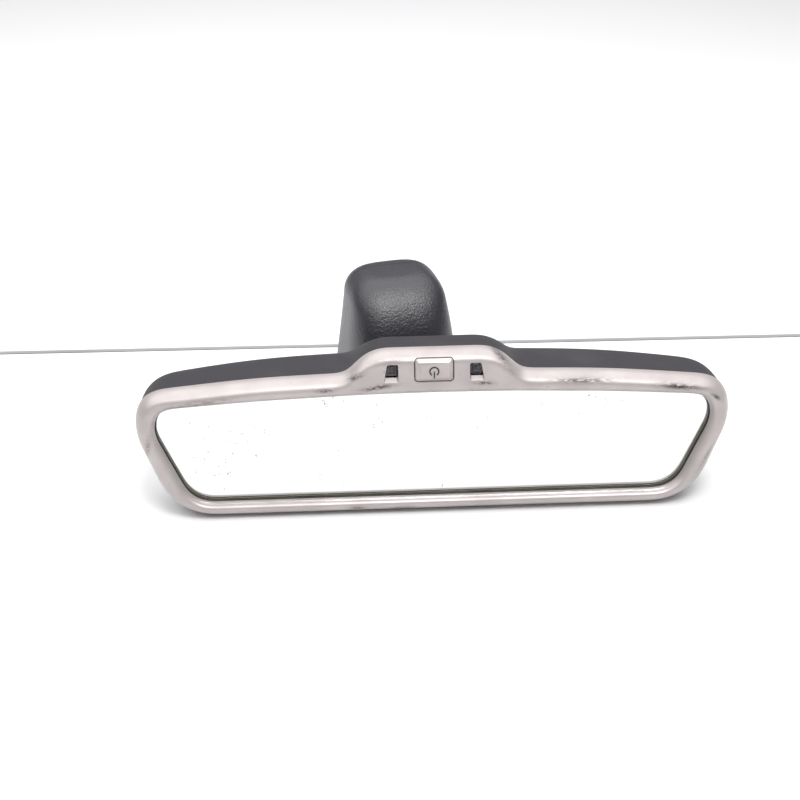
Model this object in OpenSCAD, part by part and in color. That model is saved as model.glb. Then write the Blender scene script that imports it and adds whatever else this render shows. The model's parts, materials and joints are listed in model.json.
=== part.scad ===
// Interior rearview mirror: auto-dimming head on a ball joint, with its windscreen foot and foot cover.
// Frame: millimetres, +Z up, windscreen face of the foot centred on the origin in z = 0, glass facing -Y.

/* [Head outline] */
// Half width of the head at its wing tips
head_half_w = 127.5; // [110:0.5:150]
// Height of the control chin's edge above the glass centre
chin_top = 43; // [40:0.5:54]
// Half width of the chin's level edge
chin_half_w = 26.5; // [22:0.5:32]
// How far the chin's shoulder runs out before it meets the wing
shoulder_run = 11; // [6:0.5:16]
// Height of the wing's edge beside the chin
wing_top = 32.2; // [30:0.1:38]
// Distance from the centre to the wing's crown point
wing_crown_u = 76; // [60:1:90]
// Height lost from the chin to the wing's crown point
wing_crown_drop = 1.2; // [0:0.1:3]
// Height lost from the chin to the wing tip
wing_tip_drop = 6; // [3:0.5:9]
// Height at which the wing tip starts to rake inwards
tip_knee_v = 6.5; // [0:0.5:12]
// Inward rake of the wing tip at the foot edge
tip_rake = 14.5; // [8:0.5:22]
// Distance from the glass centre to the foot edge of the head
head_bottom = 31; // [26:0.5:38]

/* [Bezel band] */
// Width of the band along the wings
band_top = 8.5; // [8:0.1:13]
// Width of the band at the wing tips
band_side = 8.4; // [6.5:0.1:11]
// Width of the band along the foot edge
band_bottom = 6.6; // [6:0.1:9]
// Wall of the bezel
bezel_wall = 2; // [1.6:0.1:2.4]
// Height of the bezel's crest over the glass
bezel_crest = 5; // [4.4:0.1:6.5]
// Depth of the bezel's skirt behind the glass face
bezel_skirt = 3.5; // [2.5:0.1:5]
// Height of the bezel's inner lip over the glass
lip_height = 1.3; // [1.2:0.1:3.4]
// Thickness of the bezel's inner lip
lip_wall = 0.8; // [0.6:0.1:1]
// Rounding of the band towards the glass
round_in = 3; // [1.5:0.1:4]
// Rounding of the band towards the housing
round_out = 4.8; // [4:0.1:8]

/* [Rear housing] */
// Depth of the housing behind the parting line
housing_depth = 36; // [30:0.5:40]
// Share of the depth lost at the wing tips
tip_taper = 0.46; // [0.2:0.02:0.5]
// Share of the depth lost at the chin's edge
chin_taper = 0.46; // [0.36:0.02:0.6]
// Share of the depth lost along the foot edge
bottom_taper = 0.34; // [0.2:0.01:0.4]
// Wall of the housing
housing_wall = 2; // [1.6:0.1:2.5]
// Rounding where the housing's side turns into its back
housing_round = 7; // [5:0.5:12]
// The same rounding along the foot edge
foot_round = 18; // [10:0.5:22]
// Gap at the parting line between bezel and housing
parting_gap = 0.3; // [0.1:0.05:0.6]
// Step of the housing inside the bezel's edge
parting_step = 0.4; // [0.2:0.1:0.8]

/* [Glass stack] */
// Thickness of each pane
pane_t = 1.7; // [1.1:0.1:2.2]
// Gap between the panes, filled with the dimming gel
gel_t = 0.35; // [0.2:0.05:0.5]
// How far the front pane reaches under the bezel
pane_lap = 2.2; // [1.8:0.1:2.4]
// Thickness of the foam pad
foam_t = 1.2; // [0.5:0.1:1.6]
// Thickness of the carrier plate
carrier_t = 2.2; // [1.5:0.1:2.6]
// Width of black gasket that shows inside the bezel
gasket_show = 0.3; // [0.2:0.1:1]

/* [Controls] */
// Width of the power button's cap
button_w = 16; // [13:0.1:18]
// Height of the power button's cap
button_h = 9.9; // [8:0.1:12]
// Corner radius of the power button
button_corner = 1.3; // [0.8:0.1:2]
// Height of the button's centre above the glass centre
button_v = 35.4; // [32:0.1:37]
// Clearance all round the button's cap
button_gap = 0.35; // [0.2:0.05:0.5]
// How far the button stands over the bezel's crest
button_proud = 0.7; // [0.2:0.1:1.2]
// Travel of the button
button_travel = 0.8; // [0.4:0.1:1]
// Distance of each sensor window from the centre
window_u = 17.8; // [15.5:0.1:20]
// Width of a sensor window
window_w = 6.2; // [5:0.1:7]
// Height of a sensor window
window_h = 5.6; // [4:0.1:6]
// Clearance round a lens in its window
lens_gap = 0.2; // [0.1:0.05:0.4]

/* [Ball joint] */
// Radius of the ball
ball_r = 8; // [7:0.5:9]
// Depth of the ball's centre behind the glass face
ball_w = 20; // [19:0.5:24]
// Height of the ball's centre above the glass centre
ball_v = 8; // [4:0.5:12]
// Radius of the stud's neck
neck_r = 4.5; // [3.5:0.1:5]
// Wall of the bearing shells
liner_wall = 1.45; // [1:0.05:1.6]
// Wall of the clamp cage
cage_wall = 1.45; // [1:0.05:1.6]
// Wall of the socket round the cage
socket_wall = 2.4; // [1.4:0.1:3]
// Running clearance between the nested spheres
ball_fit = 0.05; // [0.02:0.01:0.1]
// Half angle through which the neck swings about each axis
swing = 20; // [12:1:22]

/* [Foot] */
// Horizontal reach from the socket's axis to the ball
arm_reach = 61; // [50:1:70]
// Angle by which the head is swivelled from the foot's own axis
foot_yaw = 12; // [0:1:25]
// Slope of the arm
arm_slope = 26; // [15:1:32]
// Radius of the arm
arm_r = 6.5; // [5.5:0.1:7.5]
// Radius of the socket for the windscreen button
socket_r = 13.5; // [11:0.1:15]
// Depth of the socket
socket_depth = 5; // [3:0.5:6]
// Radius of the foot's base
base_r = 20; // [18.5:0.5:22]
// Height of the foot's base
base_h = 9; // [8:0.5:11]

/* [Foot cover] */
// Height of the cover
cover_h = 74.5; // [62:0.5:96]
// Half width of the cover at the windscreen
cover_half_w = 31; // [26:0.5:38]
// Reach of the cover in front of the socket's axis
cover_front = 30.5; // [27:0.5:36]
// Reach of the cover behind the socket's axis
cover_rear = 34; // [28:0.5:42]
// Height of the rounding over the top of the cover, and its run in from the sides
cover_round = 11; // [8:0.1:15]
// Run of that rounding in from the front and the back
cover_crown = 22; // [14:0.5:26]
// Height over which the front of the cover bends back into the top
cover_bend = 32; // [20:1:36]
// Wall of the cover
cover_wall = 2; // [1.5:0.1:2.5]
// Where the rear lid meets the main cover
cover_split = 12; // [8:0.5:16]
// Gap between the cover's rim and the windscreen
cover_lift = 0.6; // [0.3:0.1:1.5]

/* [Pose] */
// Angle by which the head leans back as it stands
head_lean = 8; // [4:0.5:30]
// Gap between the head's foot edge and the windscreen plane
stand_gap = 0.1; // [0.05:0.05:1]

/* [Hidden] */
$fn = 64;
eps = 0.01;

arc_n = 5;             // steps round each corner of the head's outline
run_n = 3;             // steps along each straight run of it
tower_n = 48;          // stations round the foot cover
tower_power = 3.3;     // squareness of the foot cover's plan

// ---- places ----
parting_w = bezel_skirt + parting_gap;
board_w = 8.6;
board_t = 1.6;
board_back = board_w + board_t;
rear_w = pane_t + gel_t;               // front of the mirror pane
foam_w = rear_w + pane_t;
carrier_w = foam_w + foam_t;
ball_x = arm_reach * sin(foot_yaw);
ball_y = -arm_reach * cos(foot_yaw);
liner_in = ball_r + ball_fit;
liner_out = liner_in + liner_wall;
cage_in = liner_out + ball_fit;
cage_out = cage_in + cage_wall;
socket_in = cage_out + ball_fit;
swing_both = acos(cos(swing) * cos(swing));   // the neck's largest angle from the socket's axis
shank_r = 4;
neck_end = 27;                                // from the ball's centre to the arm
shank_end = 44;
bore_r = 1.25;                                // self-tapping screw shank
bore_fit = 0.05;
boss_r = 3;
hole_margin = 2;       // air round the neck at the limits of its swing
hole_w = housing_depth + parting_w - ball_w;   // from the ball's centre back to the hole
head_hole_r = hole_w * tan(swing_both) + neck_r / cos(swing_both) + hole_margin;

// ---- outline of the head, from the top centre clockwise: [u, v, length of the rounded corner] ----
outer_corners = [
  [0, chin_top, 0],
  [chin_half_w, chin_top, 7],
  [chin_half_w + shoulder_run, wing_top, 3],
  [wing_crown_u, wing_top - wing_crown_drop, 16],
  [head_half_w, wing_top - wing_tip_drop, 17],
  [head_half_w, tip_knee_v, 6],
  [head_half_w - tip_rake, -head_bottom, 19],
  [0, -head_bottom, 0]
];
inner_corners = [
  [0, wing_top - band_top + 0.6, 0],
  [chin_half_w, wing_top - band_top + 0.4, 7],
  [chin_half_w + shoulder_run, wing_top - band_top + 0.1, 3],
  [wing_crown_u, wing_top - wing_crown_drop - band_top, 16],
  [head_half_w - band_side, wing_top - wing_tip_drop - band_top + 2, 15],
  [head_half_w - band_side, tip_knee_v + 0.5, 5],
  [head_half_w - tip_rake - band_side + 0.6, -head_bottom + band_bottom, 10],
  [0, -head_bottom + band_bottom, 0]
];

// ---- shared functions ----
function lerp(a, b, t) = a + (b - a) * t;
function unit(p) = p / norm(p);
function xy(p) = [p.x, p.y];
function bezier(a, b, c, t) = lerp(lerp(a, b, t), lerp(b, c, t), t);
function smooth(a, b, x) = let (t = min(1, max(0, (x - a) / (b - a)))) t * t * (3 - 2 * t);
function signed_power(x, p) = sign(x) * pow(abs(x), p);
// 1 at an edge, 0 from a distance of one radius on, as a quarter circle falls
function edge_fall(x) = x >= 1 ? 0 : 1 - sqrt(1 - pow(1 - max(0, x), 2));

// Right half of an outline: straight runs between parabolic corners, which shrink where a run is too short
function half_outline(c) = let (
  n = len(c),
  run = [for (i = [0:n - 2]) norm(xy(c[i + 1]) - xy(c[i]))],
  fit = [for (i = [0:n - 2]) min(1, 0.98 * run[i] / max(eps, c[i].z + c[i + 1].z))],
  t = [for (i = [0:n - 1]) c[i].z * min(i > 0 ? fit[i - 1] : 1, i < n - 1 ? fit[i] : 1)],
  into = [for (i = [0:n - 1]) i > 0 ? xy(c[i]) + unit(xy(c[i - 1]) - xy(c[i])) * t[i] : xy(c[i])],
  away = [for (i = [0:n - 1]) i < n - 1 ? xy(c[i]) + unit(xy(c[i + 1]) - xy(c[i])) * t[i] : xy(c[i])]
) [for (i = [0:n - 1]) each concat(
  i > 0 ? [for (k = [1:run_n - 1]) lerp(away[i - 1], into[i], k / run_n)] : [],
  i == 0 || i == n - 1 ? [xy(c[i])] : [for (k = [0:arc_n]) bezier(into[i], xy(c[i]), away[i], k / arc_n)]
)];
function both_halves(h) = concat(h, [for (i = [len(h) - 2:-1:1]) [-h[i].x, h[i].y]]);

outer = both_halves(half_outline(outer_corners));
inner = both_halves(half_outline(inner_corners));
stations = len(outer);
band = [for (k = [0:stations - 1]) norm(outer[k] - inner[k])];
across = [for (k = [0:stations - 1]) unit(outer[k] - inner[k])];
function off_inner(d) = [for (k = [0:stations - 1]) inner[k] + across[k] * d];
function off_outer(d) = [for (k = [0:stations - 1]) outer[k] - across[k] * d];

// Faces of rings of n points; closed joins the last ring to the first, capped fans the two ends to two poles
function ring_faces(rings, n, closed) = [
  for (j = [0:rings - (closed ? 1 : 2)], k = [0:n - 1]) let (
    a = j * n + k,
    b = ((j + 1) % rings) * n + k,
    c = ((j + 1) % rings) * n + (k + 1) % n,
    d = j * n + (k + 1) % n
  ) each [[a, b, c], [a, c, d]]
];
module skin(rings) polyhedron(
  points = [for (r = rings) each r], faces = ring_faces(len(rings), len(rings[0]), true), convexity = 8
);
module capped_skin(rings, first_pole, last_pole) {
  n = len(rings[0]);
  m = len(rings);
  polyhedron(
    points = concat([for (r = rings) each r], [first_pole, last_pole]),
    faces = concat(
      ring_faces(m, n, false),
      [for (k = [0:n - 1]) [m * n, k, (k + 1) % n]],
      [for (k = [0:n - 1]) [m * n + 1, (m - 1) * n + (k + 1) % n, (m - 1) * n + k]]
    ),
    convexity = 8
  );
}

// Head frame: x across, y up the glass, z out of the glass; w is the depth behind the glass face
module head_frame() translate([ball_x, ball_y, ball_z]) rotate([90 - head_lean, 0, 0])
  translate([0, -ball_v, ball_w]) children();
module ball_frame() translate([0, ball_v, -ball_w]) children();
module slab(outline, w0, w1) translate([0, 0, -w1]) linear_extrude(w1 - w0) polygon(outline);
module slab_ring(outside, inside, w0, w1) difference() {
  slab(outside, w0, w1);
  slab(inside, w0 - 1, w1 + 1);
}
module peg(u, v, r, w0, w1) translate([u, v, -w1]) cylinder(r = r, h = w1 - w0);
module block(u, v, size_u, size_v, w0, w1)
  translate([u - size_u / 2, v - size_v / 2, -w1]) cube([size_u, size_v, w1 - w0]);
// Flat outline with rounded corners, drawn clockwise from its first corner
function rounded(corners, r) = [
  for (i = [0:len(corners) - 1]) let (
    n = len(corners),
    p = corners[i],
    a = p + unit(corners[(i + n - 1) % n] - p) * r,
    b = p + unit(corners[(i + 1) % n] - p) * r
  ) each [for (k = [0:4]) bezier(a, p, b, k / 4)]
];
function box_corners(w, h) = [[-w / 2, h / 2], [w / 2, h / 2], [w / 2, -h / 2], [-w / 2, -h / 2]];

// ---- bezel ----
function front_w(x, width) =
  -bezel_crest
  + (bezel_crest - lip_height) * edge_fall(x / min(round_in, 0.35 * width))
  + (bezel_crest + bezel_skirt) * edge_fall((width - x) / min(round_out, 0.65 * width));
function back_w(x, width) = min(front_w(x, width) + bezel_wall, lip_wall - lip_height);
front_n = 9;
back_n = 6;
function band_ring(share, inset, depth) = [
  for (k = [0:stations - 1]) let (
    x = (band[k] - inset) * share,
    p = inner[k] + across[k] * x
  ) [p.x, p.y, -(depth == 0 ? front_w(x, band[k]) : depth == 1 ? back_w(x, band[k]) : bezel_skirt)]
];
function window_corners(side, grow) = [
  for (p = [[-0.4, 0.5], [0.28, 0.5], [0.5, -0.5], [-0.4, -0.5]])
    [side * (window_u + p.x * (window_w + grow * 2)), window_v + p.y * (window_h + grow * 2)]
];
window_v = button_v - 0.4;
tabs = [[30, -1], [80, -1], [60, 1], [95, 1]];   // distance from the centre; -1 foot edge, 1 top edge
tab_width = 6;
tab_t = 0.8;
tab_gap = 0.5;
module bezel_tab(u, side) {
  edge = side > 0 ? lookup(u, [for (p = half_outline(outer_corners)) if (p.y > 0 && p.x > 40) [p.x, p.y]])
                  : head_bottom;
  leg_in = parting_step + housing_wall + tab_gap;
  leg_out = leg_in + tab_t;
  root_in = bezel_wall / 2;
  for (m = [-1, 1]) {
    block(m * u, side * (edge - (root_in + leg_out) / 2), tab_width, leg_out - root_in,
          -0.9, bezel_skirt - 0.3);
    block(m * u, side * (edge - (leg_in + leg_out) / 2), tab_width, tab_t, -0.9, bezel_skirt + 4);
  }
}
module bezel() color("#d8cecb") head_frame() {
  difference() {
    skin(concat(
      [for (i = [0:front_n]) band_ring((1 - cos(180 * i / front_n)) / 2, 0, 0)],
      [band_ring(1, bezel_wall, 2)],
      [for (i = [back_n:-1:0]) band_ring(i / back_n, bezel_wall, 1)]
    ));
    translate([0, button_v, -bezel_skirt])
      linear_extrude(2 * bezel_crest + bezel_skirt)
        offset(r = button_gap) polygon(rounded(box_corners(button_w, button_h), button_corner));
    for (side = [-1, 1])
      translate([0, 0, -bezel_skirt])
        linear_extrude(2 * bezel_crest + bezel_skirt) polygon(rounded(window_corners(side, 0), 1));
  }
  for (t = tabs) bezel_tab(t.x, t.y);
}

// ---- rear housing ----
housing_n = 12;
lining_n = 7;
rim = off_outer(parting_step);
function depth_at(u, v) =
  housing_depth * (1 - tip_taper * pow(min(1, abs(u) / head_half_w), 2))
  * (1 - chin_taper * smooth(wing_top - 8, chin_top - 1, v))
  * (1 - bottom_taper * smooth(-4, -head_bottom, v));
wall_power = 5;         // how square the housing's wall turns into its back
// Share of the depth reached at x from the edge; low runs from 0 on the wings to 1 along the foot edge
function wall_rise(x, low, inset) = let (
  r = lerp(housing_round, foot_round, low) - inset,
  p = lerp(wall_power, 2, low)
) x >= r ? 1 : pow(1 - pow(1 - max(0, x) / r, p), 1 / p);
function housing_ring(share, inset) = [
  for (k = [0:stations - 1]) let (
    c = [0, ball_v] + unit(rim[k] - [0, ball_v]) * head_hole_r,
    start = rim[k] + unit(c - rim[k]) * inset,
    p = lerp(start, c, share),
    rise = wall_rise(norm(p - start), smooth(-5, 4 - head_bottom, rim[k].y), inset)
  ) [p.x, p.y, -(parting_w + (depth_at(p.x, p.y) - inset) * rise)]
];
// Lowest point of bezel and housing below the ball's centre, as the head leans
low_rings = concat(
  [band_ring(1, 0, 0)],
  [for (i = [0:housing_n]) housing_ring(pow(i / housing_n, 2), 0)]
);
head_low = min([
  for (r = low_rings, p = r) (p.y - ball_v) * cos(head_lean) + (p.z + ball_w) * sin(head_lean)
]);
ball_z = stand_gap - head_low;
plate_w = ball_w + 3;                   // back of the socket plate's flange
plate_holes = [for (a = [-1, 1], b = [-1, 1]) [a * 21, ball_v + b * 9]];
sensor_at = [-38, 12];
header_at = [40, 10];
header_size = [20, 9];
header_gap = 0.3;
sensor_r = 4;
module rear_housing() color("#3c3a3e") head_frame() difference() {
  union() {
    skin(concat(
      [for (i = [0:housing_n]) housing_ring(pow(i / housing_n, 2), 0)],
      [for (i = [lining_n:-1:0]) housing_ring(pow(i / lining_n, 2), housing_wall)]
    ));
    for (p = plate_holes)
      peg(p.x, p.y, boss_r, plate_w, parting_w + depth_at(p.x, p.y) - housing_wall / 2);
  }
  for (p = plate_holes) peg(p.x, p.y, bore_r + bore_fit, plate_w - 1, plate_w + 7);
  peg(sensor_at.x, sensor_at.y, sensor_r + lens_gap, board_back, parting_w + housing_depth + 5);
  block(header_at.x, header_at.y, header_size.x + 2 * header_gap, header_size.y + 2 * header_gap,
        board_back, parting_w + housing_depth + 5);
}

// ---- glass stack ----
gasket_top = lip_height - lip_wall - 0.05;
module glass_gasket() color("#121214") head_frame() {
  slab_ring(off_inner(pane_lap + 0.1), off_inner(-gasket_show), -gasket_top, -0.05);
  slab_ring(off_inner(pane_lap + 0.7), off_inner(pane_lap + 0.1), -gasket_top, foam_w);
}
module front_glass() color("#dfe8ee", 0.35) head_frame() slab(off_inner(pane_lap), 0, pane_t);
module gel_seal() color("#8f8a76") head_frame() slab_ring(off_inner(0.9), off_inner(-0.5), pane_t, rear_w);
module mirror_glass() color("#eef1f2") head_frame() slab(off_inner(0.9), rear_w, foam_w);
module bus_bars() color("#c08a52") head_frame() for (side = [-1, 1]) intersection() {
  slab_ring(off_inner(pane_lap - 0.2), off_inner(1), pane_t, foam_w);
  block(0, side * head_bottom, 150, head_bottom, 0, foam_w + 1);
}
cap_top = 1.4;         // from the hollow of the socket cap to its flat front
cap_w = ball_w - socket_in - cap_top;
cap_gap = 0.3;
// Room for the socket cap in what lies in front of it
module cap_room() peg(0, ball_v, socket_in + socket_wall + cap_gap, cap_w - cap_gap, ball_w);
module foam_pad() color("#2a2a2c") head_frame() difference() {
  slab(off_inner(-2), foam_w, carrier_w);
  cap_room();
}
board_holes = [for (a = [-1, 1], b = [-14, 17]) [a * 50, b]];
module carrier_plate() color("#1d1d20") head_frame() difference() {
  union() {
    slab(off_inner(pane_lap + 0.2), carrier_w, carrier_w + carrier_t);
    for (p = board_holes) peg(p.x, p.y, boss_r, carrier_w + eps, board_w);
  }
  for (p = board_holes) peg(p.x, p.y, bore_r + bore_fit, carrier_w + 0.8, board_w + 1);
  cap_room();
}

// ---- electronics ----
module circuit_board() color("#1f5a38") head_frame() difference() {
  union() {
    block(0, 1.5, 116, 41, board_w, board_back);
    block(0, 29.3, 2 * chin_half_w - 8, 18, board_w, board_back);
  }
  peg(0, ball_v, socket_in + socket_wall + 2.5, board_w - 1, board_back + 1);
  for (p = board_holes) peg(p.x, p.y, bore_r + 0.3, board_w - 1, board_back + 1);
}
// Chips: u, v, width, height, thickness
chips = [
  [-30, -10, 12, 12, 1.4], [26, -12, 9, 5, 1.6], [44, -6, 5, 6, 2.4], [-48, 2, 6, 5, 2],
  [-22, 16, 3, 1.6, 0.8]
];
module board_chips() color("#26272b") head_frame()
  for (c = chips) block(c[0], c[1], c[2], c[3], board_back, board_back + c[4]);
module board_screws() color("#b9bcc0") head_frame() for (p = board_holes) {
  peg(p.x, p.y, 2.3, board_back, board_back + 1.6);
  peg(p.x, p.y, bore_r, carrier_w + 1.2, board_back + eps);
}
switch_h = 3.5;
plunger_r = 1.6;
plunger_w = board_w - switch_h - 1.2;    // front of the plunger, where the button's stem bears
module tact_switch() color("#2c2c30") head_frame() difference() {
  block(0, button_v, 6, 6, board_w - switch_h, board_w);
  peg(0, button_v, plunger_r + 0.08, board_w - switch_h - 1, board_w - 0.6);
}
module switch_plunger() color("#d9d4c4") head_frame()
  peg(0, button_v, plunger_r, plunger_w, board_w - 0.8 - button_travel);
module power_button() color("#cfc6c4") head_frame() {
  top = bezel_crest + button_proud;
  translate([0, button_v, top - 2.4]) linear_extrude(2.4)
    polygon(rounded(box_corners(button_w, button_h), button_corner));
  difference() {
    block(0, button_v, button_w - 0.6, button_h - 0.6, -top + 2.3, -top + 5);
    block(0, button_v, button_w - 3, button_h - 3, -top + 2, -top + 6);
  }
  peg(0, button_v, 2, -top + 2.3, plunger_w);
}
lens_back = board_w - 1.6;
module lens(side) {
  translate([0, 0, -lens_back]) linear_extrude(lens_back + bezel_crest - 2.3)
    polygon(rounded(window_corners(side, -lens_gap), 0.9));
}
module glare_sensor_lens() color("#17171b") head_frame() lens(-1);
module indicator_lens() color("#17171b") head_frame() lens(1);
module glare_photodiode() color("#33343a") head_frame()
  block(-window_u, window_v, 3.2, 2.8, lens_back, board_w);
module indicator_led() color("#e6dfc2") head_frame()
  block(window_u, window_v, 3, 1.6, lens_back, board_w);
sensor_w = parting_w + depth_at(sensor_at.x, sensor_at.y);
module rear_sensor_lens() color("#17171b") head_frame() {
  peg(sensor_at.x, sensor_at.y, sensor_r, board_back + 1.6, sensor_w + 0.5);
  peg(sensor_at.x, sensor_at.y, sensor_r + 1.2,
      sensor_w - housing_wall - 2.2, sensor_w - housing_wall - 0.8);
}
module rear_photodiode() color("#33343a") head_frame()
  block(sensor_at.x, sensor_at.y, 3.2, 2.8, board_back, board_back + 1.6);
header_w = parting_w + depth_at(header_at.x, header_at.y) + 0.4;
header_floor = header_w - 12;
pin_at = [for (i = [-2:2], j = [-1, 1]) [header_at.x + i * 3, header_at.y + j * 1.4]];
module connector_header() color("#1b1b1e") head_frame() difference() {
  block(header_at.x, header_at.y, header_size.x, header_size.y, board_back, header_w);
  block(header_at.x, header_at.y, header_size.x - 2.4, header_size.y - 2.4, header_floor, header_w + 1);
  for (p = pin_at) block(p.x, p.y, 0.64, 0.64, board_back - 1, header_w);
}
module connector_pins() color("#c9b26a") head_frame()
  for (p = pin_at) block(p.x, p.y, 0.64, 0.64, board_back, header_floor + 5);

// ---- ball joint ----
// Cone about +Z of the given half angle, from the ball's centre out
module neck_cone(angle) cylinder(r1 = 0, r2 = 30 * tan(angle), h = 30);
module back_opening(angle) rotate([180, 0, 0]) neck_cone(angle);
flange_size = [54, 30];
module socket_cap() color("#3a3b40") head_frame() ball_frame() difference() {
  union() {
    cylinder(r = socket_in + socket_wall, h = socket_in + cap_top);
    block(0, 0, flange_size.x, flange_size.y, -2, 0);
  }
  sphere(r = socket_in);
  for (p = plate_holes) peg(p.x, p.y - ball_v, bore_r + 0.3, -5, 5);
}
module socket_plate() color("#2b2b2f") head_frame() ball_frame() difference() {
  union() {
    translate([0, 0, -8.5]) cylinder(r = socket_in + socket_wall, h = 8.5);
    block(0, 0, flange_size.x, flange_size.y, 0, plate_w - ball_w);
  }
  sphere(r = socket_in);
  back_opening(swing_both + asin(neck_r / socket_in) + 2);
  for (p = plate_holes) peg(p.x, p.y - ball_v, bore_r + 0.3, -5, 5);
}
module socket_screws() color("#b9bcc0") head_frame() for (p = plate_holes) {
  peg(p.x, p.y, 2.6, ball_w - 3.8, ball_w - 2);
  peg(p.x, p.y, bore_r, ball_w - 2 - eps, plate_w + 6);
}
module clamp_cage() color("#9aa0a6") head_frame() ball_frame() difference() {
  sphere(r = cage_out);
  sphere(r = cage_in);
  back_opening(swing_both + asin(neck_r / cage_in) + 1.5);
  for (a = [30:60:150]) rotate([0, 0, a]) translate([-cage_out - 1, -0.6, -cage_out - 1])
    cube([2 * cage_out + 2, 1.2, cage_out + 3]);
  cylinder(r = 3, h = cage_out + 1);
}
// The shells' opening follows the neck's slope, so that it only has to clear the swivel
module liner_frame() translate([ball_x, ball_y, ball_z]) rotate([90 - arm_slope, 0, 0]) children();
module liner_shell() difference() {
  sphere(r = liner_out);
  sphere(r = liner_in);
  back_opening(swing + asin(neck_r / liner_in) + 1.5);
}
module front_bearing_shell() color("#e9e6dc") liner_frame() intersection() {
  liner_shell();
  translate([-10, -10, 0.1]) cube([20, 20, 10]);
}
module rear_bearing_shell() color("#e9e6dc") liner_frame() intersection() {
  liner_shell();
  translate([-10, -10, -10]) cube([20, 20, 9.9]);
}

// ---- foot ----
module foot_frame() rotate([0, 0, foot_yaw]) children();
// Along the arm: +Z runs from the ball's centre down to the foot
module arm_frame() translate([ball_x, ball_y, ball_z])
  rotate([0, 0, foot_yaw]) rotate([-90 - arm_slope, 0, 0]) children();
arm_len = arm_reach / cos(arm_slope);
root_z = ball_z - arm_reach * tan(arm_slope);
module ball_stud() color("#aeb3b8") arm_frame() {
  sphere(r = ball_r);
  cylinder(r = neck_r, h = neck_end);
  translate([0, 0, neck_end - eps]) cylinder(r = shank_r, h = shank_end - neck_end);
}
module foot_bracket() color("#8c9094") difference() {
  union() {
    cylinder(r = base_r, h = base_h);
    arm_frame() translate([0, 0, neck_end]) cylinder(r = arm_r, h = arm_len - neck_end);
    translate([0, 0, base_h - eps]) cylinder(r1 = 11, r2 = 8, h = root_z + 6 - base_h + eps);
  }
  translate([0, 0, -1]) cylinder(r = socket_r, h = socket_depth + 1);
  translate([0, 0, socket_depth - eps]) cylinder(r = socket_r - 1, h = 1.8);
  arm_frame() translate([0, 0, neck_end - 1]) cylinder(r = shank_r, h = shank_end - neck_end + 1);
  for (p = carrier_holes) foot_frame() translate([p.x, p.y, base_h - 6])
    cylinder(r = bore_r + bore_fit, h = 7);
}
module windscreen_spring() color("#a9adb1") translate([0, 0, socket_depth + 0.5]) foot_frame() difference() {
  cylinder(r = socket_r - 1.3, h = 0.7);
  translate([0, 0, -1]) cylinder(r = socket_r - 3.3, h = 3);
  translate([-2, 0, -1]) cube([4, socket_r, 3]);
}

// ---- foot cover ----
cover_draft = 0.13;        // half width lost for each millimetre of height
front_draft = 0.105;
rear_draft = 0.12;
shoulder_z = cover_h - cover_round;
// Outline of the cover at height z, drawn in at its sides, rear and bent front; stations run clockwise
function tower_ring(z, wall, inset) = let (
  bend = max(0, 1 - (cover_h - wall - z) / (cover_bend - wall)),
  front_in = wall + (cover_crown - wall) * (1 - sqrt(1 - bend * bend)),
  a = cover_half_w - cover_draft * z - inset,
  y0 = -cover_front + front_draft * z + front_in,
  y1 = cover_rear - rear_draft * z - inset
) [for (k = [0:tower_n - 1]) let (t = -360 * k / tower_n) [
  a * signed_power(cos(t), 2 / tower_power),
  (y0 + y1) / 2 + (y1 - y0) / 2 * signed_power(sin(t), 2 / tower_power),
  z
]];
function dome_ring(angle, wall) = tower_ring(
  shoulder_z + (cover_round - wall) * sin(angle),
  wall,
  wall + (cover_round - wall) * (1 - cos(angle))
);
function tower_rings(wall, z0) = concat(
  [for (a = [90:-15:0]) dome_ring(a, wall)],
  [for (t = [0.08, 0.18, 0.3, 0.45, 1]) tower_ring(lerp(shoulder_z, z0, t), wall, wall)]
);
function reversed(list) = [for (i = [len(list) - 1:-1:0]) list[i]];
function middle(ring) = [0, (ring[tower_n / 4].y + ring[3 * tower_n / 4].y) / 2, ring[0].z];
module tower_shell() {
  outside = tower_rings(0, cover_lift);
  inside = tower_rings(cover_wall, cover_lift);
  capped_skin(concat(outside, reversed(inside)), middle(outside[0]), middle(inside[0]));
}
module behind(y) translate([-100, y, -10]) cube([200, 100, cover_h + 20]);
module foot_cover() color("#1c1d20") difference() {
  foot_frame() tower_shell();
  foot_frame() behind(cover_split);
  arm_frame() translate([0, 0, neck_end]) cylinder(r = arm_r + 1.5, h = arm_len - neck_end - 6);
}
module rear_lid() color("#1c1d20") foot_frame() intersection() {
  tower_shell();
  behind(cover_split + 0.2);
}
carrier_holes = [[-15.3, 7.5], [15.3, 7.5]];
post_at = [[-13.5, 9], [13.5, 9]];
post_h = shoulder_z - 8;
plate_t = 2;
module cover_carrier() color("#2b2b2f") foot_frame() difference() {
  union() {
    translate([-19.5, -14, base_h]) cube([39, 32, plate_t]);
    for (p = post_at) translate([p.x, p.y + 5, base_h + eps]) cylinder(r = 2.4, h = post_h - base_h);
    for (p = post_at) translate([p.x - 2, p.y - 6, post_h - 3]) cube([4, 13, 2]);
  }
  translate([0, 0, base_h - 1]) cylinder(r = 11.4, h = plate_t + 2);
  translate([-8.5, -20, base_h - 1]) cube([17, 20, plate_t + 2]);
  for (p = carrier_holes) translate([p.x, p.y, base_h - 1]) cylinder(r = bore_r + 0.3, h = plate_t + 2);
}
module carrier_screws() color("#b9bcc0") foot_frame() for (p = carrier_holes) {
  translate([p.x, p.y, base_h + plate_t]) cylinder(r = 2.3, h = 1.6);
  translate([p.x, p.y, base_h - 5]) cylinder(r = bore_r, h = plate_t + 5 + eps);
}

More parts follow.
